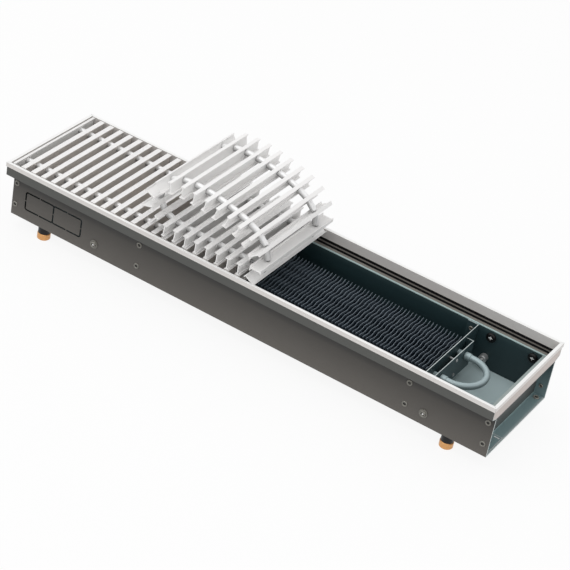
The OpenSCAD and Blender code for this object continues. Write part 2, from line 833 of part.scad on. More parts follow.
function slat_outline(left, right, under) =
  let (
    half = slat_h / 2,
    shelf = half - flange_t,
    pitch = (right - left) / (grooves + 1),
    top = [for (g = [1 : grooves], p = [
        [-groove_w / 2, 0], [0, -groove_d], [groove_w / 2, 0]
      ]) [left + g * pitch + p[0], half + p[1]]]
  )
  concat(
    [[left, half]], top,
    [[right, half], [right, shelf], [web_t / 2, shelf], [web_t / 2, -shelf],
     [under[1], -shelf], [under[1], -half], [under[0], -half], [under[0], -shelf],
     [-web_t / 2, -shelf], [-web_t / 2, shelf], [left, shelf]]
  );

module slat_bar(outline) {
  difference() {
    rotate([90, 0, 0]) linear_extrude(slat_l, center = true) polygon(outline);
    for (s = [-1, 1])
      translate([0, s * row_y, 0])
        rotate([0, 90, 0]) cylinder(r = web_hole_r, h = web_t + 2 * cut, center = true);
  }
}

module slat() {
  slat_bar(slat_outline(-walk_w / 2, walk_w / 2, [-under_w / 2, under_w / 2]));
}

module on_rows() {
  for (s = [-1, 1])
    translate([0, s * row_y, 0]) rotate([0, 90, 0]) children();
}

module bush() {
  translate([0, 0, -bush_l / 2])
    difference() {
      cylinder(r = bush_r, h = bush_l);
      translate([0, 0, -cut]) cylinder(d = bush_bore_d, h = bush_l + 2 * cut);
    }
}

module grille_end_profile() {
  left = -web_t / 2 - end_lap;
  right = left + end_flange_w;
  color("gainsboro")
    translate([end_profile_x, 0, slat_z])
      slat_bar(slat_outline(left, right, [left, right]));
}

module flat_slats() {
  color("gainsboro")
    for (i = [0 : flat_count - 1])
      translate([first_slat_x + i * slat_pitch, 0, slat_z]) slat();
}

module flat_bushes() {
  color("lightgray")
    for (i = [0 : flat_count - 1])
      translate([first_slat_x + (i - 0.5) * slat_pitch, 0, slat_z]) on_rows() bush();
}

module flat_springs() {
  start = end_profile_x - web_t / 2;
  color("dimgray")
    translate([start, 0, slat_z])
      on_rows() cylinder(r = spring_r, h = last_flat_x - spring_gap - start);
}

// Rolled part of the grille. Station 0 is the last flat slat, and each further
// station holds a slat's place and the angle that the grille has turned by there.

function sum_to(list, last) = last < 0 ? 0 : list[last] + sum_to(list, last - 1);

function turned(i, lean) =
  i < 0 ? 0 : sum_to(roll_turns, i) + (i >= lean_first && i <= lean_last ? lean : 0);

function play(i) =
  i < fold_links ? fold_play :
  i < fold_links + crown_links ? crown_play :
  i < inner_first ? side_play :
  i == inner_first ? lift_play : inner_play;

function link_turn(i, lean) = turned(i, lean) - turned(i - 1, lean);

function link_way(i, lean) = (turned(i, lean) + turned(i - 1, lean)) / 2;

function link_step(i, lean) =
  let (half = abs(link_turn(i, lean)) / 2)
  bush_l + web_t / cos(half) + 2 * bush_r * tan(half) + play(i);

function stations(lean) = [
  for (
    i = 0, p = [last_flat_x, slat_z];
    i <= len(roll_turns);
    p = p + (i < len(roll_turns)
             ? link_step(i, lean) * [cos(link_way(i, lean)), sin(link_way(i, lean))]
             : [0, 0]),
    i = i + 1
  ) [p[0], p[1], turned(i - 1, lean)]
];

function end_height(lean) = stations(lean)[len(roll_turns)][1];

function settled(low, high, steps) =
  let (middle = (low + high) / 2)
  steps == 0 ? middle :
  end_height(middle) > slat_z + slat_h + layer_gap
    ? settled(middle, high, steps - 1)
    : settled(low, middle, steps - 1);

roll_lean = settled(-lean_limit, lean_limit, lean_steps);
roll_stations = stations(roll_lean);

module rolled_slats(first, last) {
  color("gainsboro")
    for (i = [first : last])
      let (s = roll_stations[i + 1])
        translate([s[0], 0, s[1]]) rotate([0, -s[2], 0]) slat();
}

module at_link(i) {
  a = roll_stations[i];
  b = roll_stations[i + 1];
  translate([(a[0] + b[0]) / 2, 0, (a[1] + b[1]) / 2])
    rotate([0, -link_way(i, roll_lean), 0]) on_rows() children();
}

module rolled_bushes(first, last) {
  color("lightgray")
    for (i = [first : last]) at_link(i) bush();
}

// Length of a spring inside one link, drawn back where the next link turns away
function spring_reach(i) =
  link_step(i, roll_lean) / 2 - spring_r * tan(abs(link_turn(i, roll_lean)) / 2) - spring_gap;

module rolled_springs(first, last, end_l) {
  color("dimgray")
    for (i = [first : last])
      let (reach = spring_reach(i))
        at_link(i)
          translate([0, 0, -reach])
            cylinder(r = spring_r, h = 2 * reach + (i == last ? end_l : 0));
}

module fold_slat_1() { rolled_slats(0, 0); }
module fold_bushes_1() { rolled_bushes(0, 0); }
module fold_springs_1() { rolled_springs(0, 0, 0); }
module fold_slat_2() { rolled_slats(1, 1); }
module fold_bushes_2() { rolled_bushes(1, 1); }
module fold_springs_2() { rolled_springs(1, 1, 0); }
module fold_slat_3() { rolled_slats(2, 2); }
module fold_bushes_3() { rolled_bushes(2, 2); }
module fold_springs_3() { rolled_springs(2, 2, 0); }
module crown_slats() { rolled_slats(3, inner_first - 1); }
module crown_bushes() { rolled_bushes(3, inner_first - 1); }
module crown_springs() { rolled_springs(3, inner_first - 1, 0); }
module inner_slats() { rolled_slats(inner_first, len(roll_turns) - 1); }
module inner_bushes() { rolled_bushes(inner_first, len(roll_turns) - 1); }
module inner_springs() { rolled_springs(inner_first, len(roll_turns) - 1, spring_end_l); }

trough_shell();
end_plate_left();
end_plate_right();
frame_front();
frame_back();
frame_left();
frame_right();
corner_keys();
rubber_strips();
fin_pack();
exchanger_tubes();
return_bend();
cheek_plate_left();
cheek_plate_right();
support_bracket_left();
support_bracket_right();
cheek_screws();
connection_fittings();
air_vent_body();
air_vent_screw();
blind_rivets();
side_bolts();
side_washers();
rivet_nuts();
cable_grommets();
foot_sleeves();
foot_front_left();
foot_front_right();
foot_back_left();
foot_back_right();
grille_end_profile();
flat_slats();
flat_bushes();
flat_springs();
fold_slat_1();
fold_bushes_1();
fold_springs_1();
fold_slat_2();
fold_bushes_2();
fold_springs_2();
fold_slat_3();
fold_bushes_3();
fold_springs_3();
crown_slats();
crown_bushes();
crown_springs();
inner_slats();
inner_bushes();
inner_springs();
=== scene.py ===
import json
import math

import bmesh
import bpy
import numpy as np
from mathutils import Matrix, Vector


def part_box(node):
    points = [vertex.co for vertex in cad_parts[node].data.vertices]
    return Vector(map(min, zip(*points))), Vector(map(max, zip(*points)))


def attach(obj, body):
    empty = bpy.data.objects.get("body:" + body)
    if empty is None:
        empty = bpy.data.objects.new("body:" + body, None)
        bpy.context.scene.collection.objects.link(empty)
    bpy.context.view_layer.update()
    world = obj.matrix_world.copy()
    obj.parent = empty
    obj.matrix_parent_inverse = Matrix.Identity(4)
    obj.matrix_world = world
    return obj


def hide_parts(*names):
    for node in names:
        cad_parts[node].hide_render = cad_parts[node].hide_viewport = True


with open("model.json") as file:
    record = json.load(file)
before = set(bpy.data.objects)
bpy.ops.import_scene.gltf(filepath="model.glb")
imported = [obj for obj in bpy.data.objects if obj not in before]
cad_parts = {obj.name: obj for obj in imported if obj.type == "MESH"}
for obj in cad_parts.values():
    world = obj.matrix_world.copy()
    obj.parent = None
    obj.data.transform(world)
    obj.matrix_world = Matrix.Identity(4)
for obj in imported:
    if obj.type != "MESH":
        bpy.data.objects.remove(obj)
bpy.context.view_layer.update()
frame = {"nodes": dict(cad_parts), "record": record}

bl_info = {
    "name": "Trench convector heater",
    "version": (1, 0, 0),
    "blender": (4, 5, 0),
    "location": "3D View > Sidebar > Trench heater",
    "description": "Dresses a floor trench heater with its roll-up slat grille",
    "category": "Object",
}

MM = 0.001

# Depth of the casing's ledge under the top of the frame
LEDGE_DEPTH = 24.2 * MM

# Height of the painted highlight along the bend over the ledge
BEND_RISE = 0.2 * MM

# Faces this close over the casing's underside and under its ledge belong to the floor and to the ledge
FLOOR_LAYER = 3 * MM
LEDGE_LAYER = 3 * MM

# Places on the frame that the finishes follow
FRAME_END_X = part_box("frame_right")[1][0]
FRAME_SIDE_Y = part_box("frame_back")[1][1]
LEDGE_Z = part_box("frame_front")[1][2] - LEDGE_DEPTH
FLOOR_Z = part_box("trough_shell")[0][2] + FLOOR_LAYER
WELL_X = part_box("return_bend")[0][0]
FIN_TOP_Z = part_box("fin_pack")[1][2]

# Body that carries the casing and all that is fixed to it
BASE = "casing"

# Distance under which points are merged
WELD = 1e-6


def linear_colour(code):
    """Linear colour of a hexadecimal paint code."""
    parts = [int(code[i:i + 2], 16) / 255 for i in (1, 3, 5)]
    linear = [part / 12.92 if part <= 0.04045 else ((part + 0.055) / 1.055) ** 2.4 for part in parts]
    return (*linear, 1.0)


# Sockets and node graphs


class Wire:
    """One output socket of a node. Arithmetic on it adds Math nodes."""

    def __init__(self, graph, socket):
        self.graph = graph
        self.socket = socket

    def out(self, name):
        """Another output of the same node."""
        return Wire(self.graph, self.socket.node.outputs[name])

    def _math(self, operation, first, second=None):
        sockets = {0: first} if second is None else {0: first, 1: second}
        return self.graph.add("ShaderNodeMath", {"operation": operation}, sockets)

    def __add__(self, other):
        return self._math("ADD", self, other)

    def __radd__(self, other):
        return self._math("ADD", other, self)

    def __sub__(self, other):
        return self._math("SUBTRACT", self, other)

    def __rsub__(self, other):
        return self._math("SUBTRACT", other, self)

    def __mul__(self, other):
        return self._math("MULTIPLY", self, other)

    def __rmul__(self, other):
        return self._math("MULTIPLY", other, self)

    def __truediv__(self, other):
        return self._math("DIVIDE", self, other)

    def __gt__(self, other):
        return self._math("GREATER_THAN", self, other)

    def __lt__(self, other):
        return self._math("LESS_THAN", self, other)

    def __abs__(self):
        return self._math("ABSOLUTE", self)

    def sign(self):
        return self._math("SIGN", self)

    def sine(self):
        return self._math("SINE", self)

    def cosine(self):
        return self._math("COSINE", self)

    def larger(self, other):
        return self._math("MAXIMUM", self, other)

    def near(self, place, reach):
        """1 where the value lies closer to the place than the reach."""
        return abs(self - place) < reach


class Graph:
    """Adds nodes to one tree."""

    def __init__(self, tree):
        self.tree = tree

    def add(self, kind, settings=None, sockets=None):
        """A new node, its settings made first, as the wire of its first output."""
        node = self.tree.nodes.new(kind)
        for name, value in (settings or {}).items():
            setattr(node, name, value)
        for name, value in (sockets or {}).items():
            self._put(node.inputs[name], value)
        return Wire(self, node.outputs[0]) if node.outputs else node

    def _put(self, socket, value):
        if isinstance(value, Wire):
            value = [value]
        if isinstance(value, list):
            for wire in value:
                self.tree.links.new(wire.socket, socket)
        else:
            socket.default_value = value

    def vector(self, x=0.0, y=0.0, z=0.0):
        """A vector of three values."""
        return self.add("ShaderNodeCombineXYZ", None, {"X": x, "Y": y, "Z": z})

    def axes(self, vector):
        """The three values of a vector."""
        wire = self.add("ShaderNodeSeparateXYZ", None, {0: vector})
        return [wire.out(name) for name in "XYZ"]


def cleared_tree(owner):
    """The emptied node tree of a material or a world."""
    owner.use_nodes = True
    owner.node_tree.nodes.clear()
    return owner.node_tree


class Finish(Graph):
    """A material's tree, with the texture calls that the finishes share."""

    # Sockets of a Mix node that carry its factor, its two colours and their mix
    FACTOR, FIRST, SECOND, MIXED = 0, 6, 7, 2

    def __init__(self, name):
        self.material = bpy.data.materials.new(name)
        super().__init__(cleared_tree(self.material))
        coordinates = self.add("ShaderNodeTexCoord")
        self.place = coordinates.out("Object")
        self.facing = coordinates.out("Normal")

    def upward(self):
        """How far a face looks up, from -1 to 1."""
        return self.axes(self.facing)[-1]

    def stretched(self, factors):
        """The place on the piece, scaled along each axis."""
        settings = {"vector_type": "POINT"}
        return self.add("ShaderNodeMapping", settings, {"Vector": self.place, "Scale": factors})

    def noise(self, scale, detail=2.0, place=None):
        """A noise texture over the piece, or over another place."""
        sockets = {"Vector": place or self.place, "Scale": scale, "Detail": detail}
        return self.add("ShaderNodeTexNoise", None, sockets)

    def between(self, first, second, share):
        """A mix of two colours, all of the second where the share is 1."""
        sockets = {self.FACTOR: share, self.FIRST: first, self.SECOND: second}
        mix = self.add("ShaderNodeMix", {"data_type": "RGBA"}, sockets)
        return mix.out(self.MIXED)

    def shaded(self, colour, amount):
        """The colour made brighter or darker by the amount, where 1 keeps it."""
        shown = colour if isinstance(colour, Wire) else tuple(colour)[:3]
        return self.add("ShaderNodeVectorMath", {"operation": "SCALE"}, {0: shown, "Scale": amount})

    def clouded(self, colour, *layers):
        """The colour under layers that each brighten and darken it, given as a texture and its spread."""
        amount = 1.0
        for texture, spread in layers:
            amount = amount + (texture - 0.5) * spread
        return self.shaded(colour, amount)

    def soft_edges(self, radius):
        """Normals that round the edges by the radius."""
        return self.add("ShaderNodeBevel", {"samples": 4}, {"Radius": radius})

    def bumped(self, height, distance, strength, normal=None):
        """Normals that follow a texture's heights."""
        sockets = {"Height": height, "Distance": distance, "Strength": strength}
        if normal is not None:
            sockets["Normal"] = normal
        return self.add("ShaderNodeBump", None, sockets)

    def rise(self, value, low, high):
        """0 at the low end and 1 at the high end, with a straight slope between them."""
        return self.add("ShaderNodeMapRange", None, {"Value": value, "From Min": low, "From Max": high})

    def surface(self, gloss=0.5, **values):
        """Ends the tree with a surface of these values, and returns its material."""
        names = {key.replace("_", " ").title(): value for key, value in values.items()}
        names["Specular IOR Level"] = gloss
        shader = self.add("ShaderNodeBsdfPrincipled", None, names)
        self.add("ShaderNodeOutputMaterial", None, {"Surface": shader})
        return self.material


# Finishes

# Scales of the noise textures, where a larger one is finer
COAT_GRAIN = 1400.0
COAT_WEAR = 60.0
METAL_GRAIN = 500.0
RUBBER_GRAIN = 900.0
BAR_CLOUDS = 12.0
FIN_CLOUDS = 40.0

# Radii of the edges that catch light
COAT_EDGE = 0.4 * MM
METAL_EDGE = 0.3 * MM
BAR_EDGE = 0.25 * MM


def powder_coat(finish, colour, clouds, spread, rough, grain_depth, grain_strength, edges=None):
    """Fine-grained paint with faint clouds in its colour."""
    return finish.surface(
        base_color=finish.clouded(colour, (finish.noise(clouds, detail=3.0), spread)),
        roughness=rough + finish.noise(COAT_WEAR) * 0.12,
        normal=finish.bumped(finish.noise(COAT_GRAIN), grain_depth, grain_strength, edges),
    )


def casing_paint(colours):
    """Powder coat of the trough: warm grey outside, teal inside, with painted shade and shadow, painted
    light on the floor and under the bend, and painted highlights on the bend and the sheet ends.
    """
    finish = Finish("casing powder coat")
    x, y, z = finish.axes(finish.place)
    nx, ny, nz = finish.axes(finish.facing)
    sloped = nz > 0.2
    level = nz > 0.97
    shade_top = LEDGE_Z - 10 * MM
    shadow_foot, shadow_top = LEDGE_Z - 16 * MM, LEDGE_Z - 4 * MM
    bend_foot = LEDGE_Z - 9 * MM
    bend_width = 0.8 * MM
    slit_top = LEDGE_Z - 6 * MM
    lit_start = WELL_X - 30 * MM
    highlight_start = FRAME_END_X - 9 * MM

    # Painted shadow under the ledge, in the recess colour
    ledge_shadow = finish.rise(z, shadow_foot, shadow_top) * 0.78
    # Outside walls painted darker towards the ledge as shade
    outside = finish.between(
        colours.casing_outside, colours.casing_shade, finish.rise(z, FLOOR_Z, shade_top)
    )
    outside = finish.between(outside, colours.recess, ledge_shadow)
    outside = finish.between(outside, colours.casing_band, z > LEDGE_Z)

    # Painted light on the floor by the well; further in, the floor keeps the inside's painted shade
    lit_floor = finish.rise(x, lit_start, WELL_X) * level * (z < FLOOR_Z)
    # Inside: the same coat painted darker and teal as shade, with painted light just under the upper bend
    hollow = finish.between(
        colours.casing_inside_shade, colours.casing_inside_top_light, finish.rise(z, bend_foot, LEDGE_Z)
    )
    hollow = finish.between(hollow, colours.ledge, sloped * (z > LEDGE_Z - LEDGE_LAYER))
    # Painted highlight along the bend over the inner wall
    hollow = finish.between(hollow, colours.bend_highlight, z.near(LEDGE_Z + BEND_RISE, bend_width))
    hollow = finish.between(hollow, colours.floor, lit_floor)

    inside = ((ny * y.sign()) < -0.05).larger(sloped)
    # Painted shade in the knock-out slits
    slit_shade = (abs(ny) < 0.3) * (z > FLOOR_Z) * (z < slit_top)
    # Painted highlight on the sheet's ends
    end_highlight = (abs(nx) > 0.9) * (abs(x) > highlight_start)
    colour = finish.between(outside, hollow, inside)
    colour = finish.between(colour, colours.recess, slit_shade)
    colour = finish.between(colour, colours.edge_highlight, end_highlight)
    return powder_coat(
        finish, colour, clouds=7.0, spread=0.12, rough=0.42,
        grain_depth=0.06 * MM, grain_strength=0.5, edges=finish.soft_edges(COAT_EDGE),
    )


def inner_paint(colours):
    """Teal powder coat of the plates inside the casing, with painted highlights on their upper edges."""
    finish = Finish("inner powder coat")
    # Painted highlight on the plates' upward edges
    colour = finish.between(colours.inner_plate, colours.edge_highlight, finish.upward() > 0.98)
    return powder_coat(
        finish, colour, clouds=9.0, spread=0.16, rough=0.38, grain_depth=0.05 * MM, grain_strength=0.4,
    )


def end_plate_paint(colours):
    """Coat of the end plates: a pale band that is a painted reflection, a dark plate under it with painted
    shade towards the ledge, and a floor flange with painted light and a painted highlight on its rim.
    """
    finish = Finish("end plate powder coat")
    x, y, z = finish.axes(finish.place)
    nx, ny, nz = finish.axes(finish.facing)
    level = nz > 0.9
    outward = (nx * x.sign()) > 0.5
    on_flange = level * (z < FLOOR_Z)
    shade_foot = LEDGE_Z - 36 * MM
    bend_top = FLOOR_Z + 0.3 * MM
    rim_start = FRAME_END_X - 5 * MM
    band_start = FRAME_END_X - 4 * MM
    highlight_start = FRAME_END_X - 3 * MM

    # Outward face painted darker towards the ledge as shade
    plate = finish.between(colours.end_plate, colours.end_plate_shade, finish.rise(z, shade_foot, LEDGE_Z))
    # Side faces painted lighter towards the floor as light, from the inside's shade to the flange colour
    side = finish.between(colours.casing_inside_shade, colours.flange, finish.rise(z, LEDGE_Z, FLOOR_Z) * 0.7)
    # Painted highlight across the flange's outer edge
    rim = finish.rise(abs(x), rim_start, FRAME_END_X)
    # The pale end band is a painted reflection on the dark coat
    band = (abs(x) > band_start) * (z > LEDGE_Z)
    # Painted highlight on the plate's rim near the casing's end
    rim_highlight = (abs(nx) > 0.9) * (abs(x) > highlight_start) * (z < LEDGE_Z - LEDGE_LAYER)
    # Inward faces take the inside's painted shade
    colour = finish.between(colours.casing_inside_shade, plate, outward)
    colour = finish.between(colour, side, abs(ny) > 0.9)
    colour = finish.between(colour, colours.end_band_reflection, band)
    colour = finish.between(colour, colours.end_ledge, level * (z > LEDGE_Z - LEDGE_LAYER))
    # Floor flange painted lighter as light falls on it, with the rim's painted highlight
    colour = finish.between(colour, finish.between(colours.flange, colours.flange_rim_highlight, rim), on_flange)
    colour = finish.between(colour, colours.edge_highlight, rim_highlight)
    # Painted highlight along the plate's lower bend
    colour = finish.between(colour, colours.bend_highlight, outward * (z < bend_top))
    colour = flange_corner(finish, colours, colour, on_flange * (x > 0.0), FRAME_END_X - x, y)
    return powder_coat(
        finish, colour, clouds=9.0, spread=0.12, rough=0.36,
        grain_depth=0.05 * MM, grain_strength=0.4, edges=finish.soft_edges(COAT_EDGE),
    )


def flange_corner(finish, colours, colour, on_flange, inset, y):
    """The colour with painted highlights along a seam and a lip, and a bright slot, at the front corner of
    the right floor flange.
    """
    seam_y = 63 * MM - FRAME_SIDE_Y
    seam_reach = 0.5 * MM
    lip_inset = 2.8 * MM
    slot_y = seam_y - 4.5 * MM
    slot_inset = 9 * MM
    slot_length, slot_width = 8.4 * MM, 2.2 * MM
    seam = y.near(seam_y, seam_reach)
    lip = inset.near(lip_inset, seam_reach) * (y < seam_y)
    slot = inset.near(slot_inset, slot_length / 2) * y.near(slot_y, slot_width / 2)
    # Seam and lip drawn as painted highlights
    colour = finish.between(colour, colours.flange_rim_highlight, on_flange * seam.larger(lip))
    return finish.between(colour, colours.aluminium, on_flange * slot)


def fin_paint(colours):
    """Dark thin paint of the fins, with a painted highlight towards their upper edges."""
    finish = Finish("fin paint")
    _, _, z = finish.axes(finish.place)
    highlight_depth = 5 * MM
    # Painted highlight: fins lighter towards their top and on upward edges
    painted_highlight = finish.rise(z, FIN_TOP_Z - highlight_depth, FIN_TOP_Z) * 0.55
    colour = finish.between(colours.fin, colours.fin_edge_highlight, (finish.upward() > 0.7).larger(painted_highlight))
    cloud = finish.noise(FIN_CLOUDS, detail=3.0)
    return finish.surface(base_color=finish.clouded(colour, (cloud, 0.3)), roughness=0.4, metallic=0.2)


def drawn_metal(finish, colour, stretch, metallic, rough, strength):
    """Satin surface of a drawn bar, with faint lines along its length."""
    lines = finish.noise(1.0, detail=3.0, place=finish.stretched(stretch))
    cloud = finish.noise(BAR_CLOUDS)
    return finish.surface(
        base_color=finish.clouded(colour, (lines, 0.06), (cloud, 0.04)),
        metallic=metallic,
        roughness=rough + lines * 0.14,
        normal=finish.bumped(lines, 0.03 * MM, strength, finish.soft_edges(BAR_EDGE)),
    )


def sided_aluminium(name, colour, side, stretch):
    """Satin aluminium with painted shade on its sides in another colour, and a fine dark line along the
    frame's mitres.
    """
    finish = Finish(name)
    x, y, _ = finish.axes(finish.place)
    line_reach = 0.22 * MM
    bar_width = 8 * MM
    from_end = FRAME_END_X - abs(x)
    from_side = FRAME_SIDE_Y - abs(y)
    mitre = from_end.near(from_side, line_reach) * (from_end < bar_width)
    # Sides take the shade colour as painted shade
    shown = finish.shaded(finish.between(colour, side, finish.upward() < 0.5), 1.0 - mitre * 0.62)
    return drawn_metal(finish, shown, stretch, metallic=0.05, rough=0.32, strength=0.5)


def plain_aluminium(name, colour, stretch):
    """Satin aluminium of one colour."""
    return drawn_metal(Finish(name), colour, stretch, metallic=0.0, rough=0.30, strength=0.15)


def turned_surface(finish, colour, spread, metallic, rough, wear, gloss=0.5, edges=None):
    """Grained metal, whose grain varies its colour by the spread and its roughness by the wear."""
    grain = finish.noise(METAL_GRAIN, detail=3.0)
    return finish.surface(
        gloss=gloss,
        base_color=finish.clouded(colour, (grain, spread)),
        metallic=metallic,
        roughness=rough + grain * wear,
        normal=finish.bumped(grain, 0.03 * MM, 0.4, edges),
    )


def turned_metal(name, colour, metallic, rough):
    """Bare or plated metal of one colour."""
    finish = Finish(name)
    edges = finish.soft_edges(METAL_EDGE)
    return turned_surface(finish, colour, 0.16, metallic, rough, wear=0.15, edges=edges)


def round_metal(name, colour, metallic, shade):
    """Bright round pieces with painted shade on their undersides, which keep only the given share of their
    colour.
    """
    finish = Finish(name)
    # Painted light and shade: full colour facing up, the given share facing down
    lit = shade + finish.rise(finish.upward(), -0.3, 0.8) * (1.0 - shade)
    edges = finish.soft_edges(METAL_EDGE)
    shown = finish.shaded(colour, lit)
    return turned_surface(finish, shown, 0.12, metallic, rough=0.25, wear=0.1, edges=edges)


def rivet_metal(colours):
    """Turned heads with painted light on upward faces, painted shade where the recess attribute is over 0
    and a painted glint where it is far below it.
    """
    finish = Finish("rivet metal")
    recess = finish.add("ShaderNodeAttribute", {"attribute_name": "recess"}).out("Fac")
    # Painted light on the upward faces of the heads
    lit = finish.shaded(colours.rivet, 1.0 + finish.rise(finish.upward(), 0.3, 0.9) * 0.9)
    # Painted shade where the recess attribute is over 0
    shown = finish.between(lit, colours.recess, recess.larger(0.0))
    # Painted glint, in the slats' colour, where the recess attribute is far below 0
    shown = finish.between(shown, colours.slat, recess < -0.5)
    return turned_surface(finish, shown, spread=0.16, metallic=0.2, rough=0.25, wear=0.1, gloss=0.3)


def strip_rubber(colours):
    """Black rubber of the strips under the slats, whose ribbed upper face is a lighter grey."""
    finish = Finish("strip rubber")
    _, y, _ = finish.axes(finish.place)
    rib_pitch = 0.8 * MM
    ribs = (y * (math.tau / rib_pitch)).sine() * 0.12 + 1.0
    grey_face = finish.shaded(colours.strip_face, ribs)
    colour = finish.between(colours.black, grey_face, finish.upward() > 0.9)
    return finish.surface(gloss=0.2, base_color=colour, roughness=0.55)


def rubber(name, colour, rough, gloss):
    """Moulded rubber or plastic with a fine grain."""
    finish = Finish(name)
    grain = finish.noise(RUBBER_GRAIN, detail=3.0)
    return finish.surface(
        gloss=gloss,
        base_color=finish.clouded(colour, (grain, 0.3)),
        roughness=rough + grain * 0.1,
        normal=finish.bumped(grain, 0.04 * MM, 0.4, finish.soft_edges(COAT_EDGE)),
    )


# Sizes and colours that a user may change


def colour_choice(label, text, code):
    """A colour property whose default is a paint code."""
    return bpy.props.FloatVectorProperty(
        name=label, description=text, size=4, subtype="COLOR", min=0, max=1, default=linear_colour(code)
    )


def length_choice(label, text, size):
    """A length property."""
    return bpy.props.FloatProperty(name=label, description=text, default=size, unit="LENGTH")


class HeaterColours(bpy.types.PropertyGroup):
    """Paints and metals of the heater."""

    casing_outside: colour_choice("Outside", "Outside of the casing", "#5C5853")
    casing_shade: colour_choice("Outside, upper", "Outside of the walls towards the ledge", "#3A3733")
    casing_band: colour_choice("Band", "Upright band under the frame", "#4D4E4B")
    # Painted shade: the inside of the same coat, darker and teal
    casing_inside_shade: colour_choice("Inside", "Inside of the casing", "#22363A")
    # Painted light on the inner walls just under their upper bend
    casing_inside_top_light: colour_choice("Inside, upper", "Inner walls just under their upper bend", "#36494B")
    # Painted highlight along the bend over the inner wall
    bend_highlight: colour_choice("Bend", "Light line along the bend over the inner wall", "#A9BFBF")
    ledge: colour_choice("Ledge", "Sloped ledge inside the casing", "#77736C")
    # Painted light on the casing's floor by the well
    floor: colour_choice("Floor", "Floor of the casing", "#BFD2D4")
    inner_plate: colour_choice("Plates", "Plates in the casing", "#324549")
    end_plate: colour_choice("End plate", "Outward face of the end plates", "#4C4F4E")
    end_plate_shade: colour_choice("End plate, upper", "End plates just under their ledge", "#2D2E2B")
    # Painted reflection on the band that closes the casing's ends
    end_band_reflection: colour_choice("End band", "Band that closes the casing's ends", "#C6BBB5")
    end_ledge: colour_choice("End ledge", "Level step at the casing's ends", "#9CA9A7")
    # Painted light: the floor flange of the same coat, lit lighter teal
    flange: colour_choice("Flange", "Floor flange of the end plates", "#8AA3A6")
    # Painted highlight on the outer edge of the floor flanges
    flange_rim_highlight: colour_choice("Flange rim", "Outer edge of the floor flanges", "#CDD2D1")
    # Painted highlight on sheet edges
    edge_highlight: colour_choice("Cut edge", "Edges of the sheets that catch the light", "#C9D2D2")
    aluminium: colour_choice("Aluminium", "Upper faces of the anodised frame", "#FAFAF9")
    # Painted shade on the frame's lips and legs
    frame_side_shade: colour_choice("Frame sides", "Lips and legs of the frame", "#DDD9D6")
    # The slats' colour also gives the painted glint on rivet and bolt centres
    slat: colour_choice("Slats", "Walking faces, and webs of the rolled slats", "#F9F8F7")
    # Painted shade on the webs of the flat slats
    flat_web_shade: colour_choice("Flat webs", "Webs of the slats that lie flat", "#EEE8E3")
    bush: colour_choice("Bushes", "Spacer bushes between the slats", "#FAFAFA")
    fin: colour_choice("Fins", "Faces of the fins", "#3C4854")
    # Painted highlight on the fins' upper edges
    fin_edge_highlight: colour_choice("Fin edges", "Upper edges of the fins", "#8A96A0")
    tube: colour_choice("Tubes", "Water tubes and their return bend", "#A9BBBE")
    foot: colour_choice("Feet", "Metal pads of the feet", "#DDA468")
    brass: colour_choice("Brass", "Water connections and air vent", "#B9975B")
    black: colour_choice("Black", "Rubber and plastic", "#0D0E10")
    # Painted highlight on the lips of the grommets' slits
    painted_highlight: colour_choice("Worn lips", "Lips of the grommets' slits", "#E4E8E7")
    # Lighter grey upper face of the rubber strips
    strip_face: colour_choice("Strips", "Dusty upper face of the rubber strips", "#706C67")
    rivet: colour_choice("Rivets", "Heads of the rivets and side bolts", "#7A7872")
    # Near-black painted shade for open centres, slits and the shadow under the ledge
    recess: colour_choice("Recess", "Open centres of rivets and deep shadows", "#08090B")
    zinc: colour_choice("Zinc", "Plated screws, bolts and springs", "#B5B6B6")


class HeaterSizes(bpy.types.PropertyGroup):
    """Sizes of the pieces that dress the frame."""

    wire: length_choice("Spring wire", "Thickness of a spring's wire", 0.7 * MM)
    coil: length_choice("Spring diameter", "Outer diameter of a spring", 4.2 * MM)
    coil_pitch: length_choice("Spring pitch", "Distance between a spring's turns", 0.95 * MM)
    fin_sheet: length_choice("Fin sheet", "Thickness of a fin", 0.4 * MM)
    fin_ripple: length_choice("Fin ripple", "Height of a fin's waves", 1.35 * MM)
    fin_waves: bpy.props.IntProperty(name="Fin waves", description="Waves along a fin", default=4)
    fin_pitch: length_choice("Fin pitch", "Distance between the fins", 5.5 * MM)
    collar: length_choice("Collar", "Radius of the fins' collars round the tubes", 5.3 * MM)
    head: length_choice("Rivet head", "Outer radius of a rivet's domed ring", 4.4 * MM)
    head_hole: length_choice("Rivet opening", "Radius of the opening in a rivet's ring", 2.0 * MM)
    head_height: length_choice("Rivet height", "Height of a rivet's domed ring", 1.4 * MM)
    bolt_head: length_choice("Bolt head", "Outer radius of a side bolt's domed head", 4.6 * MM)
    bolt_height: length_choice("Bolt height", "Height of a side bolt's domed head", 2.4 * MM)


class HeaterStage(bpy.types.PropertyGroup):
    """Camera and lamps."""

    key_power: bpy.props.FloatProperty(
        name="Top light", description="Power of the large light above", default=16.0, unit="POWER"
    )
    fill_power: bpy.props.FloatProperty(
        name="Front light", description="Power of the light beside the camera", default=6.5, unit="POWER"
    )
    lens: bpy.props.FloatProperty(
        name="Lens", description="Focal length of the camera", default=131.35, unit="CAMERA"
    )


# Solids of the frame


